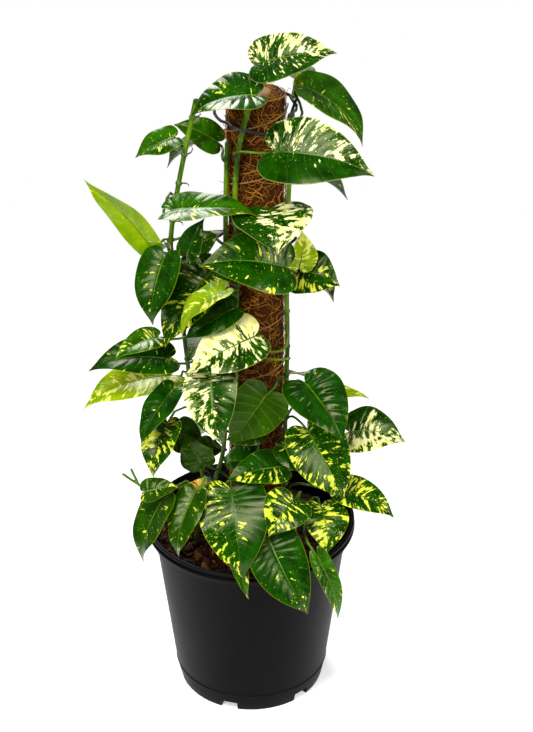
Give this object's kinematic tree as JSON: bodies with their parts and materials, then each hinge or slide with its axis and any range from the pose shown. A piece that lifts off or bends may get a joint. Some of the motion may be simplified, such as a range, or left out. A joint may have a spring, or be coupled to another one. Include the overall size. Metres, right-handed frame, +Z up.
{
  "type": "potted pothos plant",
  "caption": "Variegated climbing pothos with heart-shaped leaves, trained up a coir pole in a round black nursery pot.",
  "frame": {"origin": "centre of the pot's flat underside, on the pot's axis", "axes": "+Z up along the pot's axis, +X to the right as seen from the front, the front faces -Y"},
  "size_m": [0.3746, 0.2801, 0.839],
  "materials": {
    "pot_plastic": "satin moulded black polypropylene",
    "bark_mix": "damp shredded bark and peat",
    "stake_wood": "rough turned softwood",
    "coir_fibre": "loose matted coconut fibre",
    "natural_twine": "dry spun fibre",
    "soft_tie_rubber": "satin coated wire",
    "green_stem": "smooth waxy green stem",
    "leaf_green": "waxy, glossy, green with lime flecks",
    "leaf_dark_green": "waxy, glossy, dark green",
    "leaf_lime": "waxy, glossy, young yellow-green",
    "leaf_cream": "waxy, glossy, green with cream patches"
  },
  "bodies": {
    "root": {"pot": "pot_plastic", "soil": "bark_mix", "pole_stake": "stake_wood", "coir_sleeve": "coir_fibre", "twine": "natural_twine", "soft_tie_middle": "soft_tie_rubber", "soft_tie_top": "soft_tie_rubber", "front_vine": "green_stem", "right_vine": "green_stem", "left_vine": "green_stem", "free_vine": "green_stem", "back_vine": "green_stem", "leaf_crown_top": "leaf_cream", "leaf_crown_left": "leaf_green", "leaf_crown_right": "leaf_green", "leaf_shoulder_right": "leaf_dark_green", "leaf_bow_left": "leaf_lime", "leaf_bow_right": "leaf_green", "leaf_far_left_lime": "leaf_lime", "leaf_bridge": "leaf_green", "leaf_heart": "leaf_cream", "leaf_lime_right": "leaf_lime", "leaf_big_center": "leaf_dark_green", "leaf_fan_right": "leaf_green", "leaf_drop_left": "leaf_dark_green", "leaf_sliver_left": "leaf_green", "leaf_large_left": "leaf_green", "leaf_crescent": "leaf_lime", "leaf_white": "leaf_cream", "leaf_wing_low": "leaf_dark_green", "leaf_wing_high": "leaf_lime", "leaf_lime_left": "leaf_lime", "leaf_dark_left": "leaf_dark_green", "leaf_center_left": "leaf_cream", "leaf_olive": "leaf_lime", "leaf_glossy_right": "leaf_green", "leaf_varieg_right": "leaf_cream", "leaf_big_varieg_right": "leaf_green", "leaf_low_left_varieg": "leaf_cream", "leaf_low_center": "leaf_dark_green", "leaf_low_right_dark": "leaf_dark_green", "leaf_yellowing": "leaf_lime", "leaf_left_outer": "leaf_green", "leaf_left_inner": "leaf_green", "leaf_speckled": "leaf_cream", "leaf_front_glossy": "leaf_dark_green", "leaf_front_narrow": "leaf_green", "leaf_low_right": "leaf_green", "leaf_low_right_heart": "leaf_green", "leaf_low_front_heart": "leaf_green", "leaf_back_crown": "leaf_green", "leaf_back_high_left": "leaf_cream", "leaf_back_high_right": "leaf_dark_green", "leaf_back_mid_left": "leaf_green", "leaf_back_mid_right": "leaf_cream", "leaf_back_low_left": "leaf_dark_green", "leaf_back_low_right": "leaf_green", "leaf_back_rim_left": "leaf_cream", "leaf_back_rim_right": "leaf_green"}
  },
  "joints": []
}
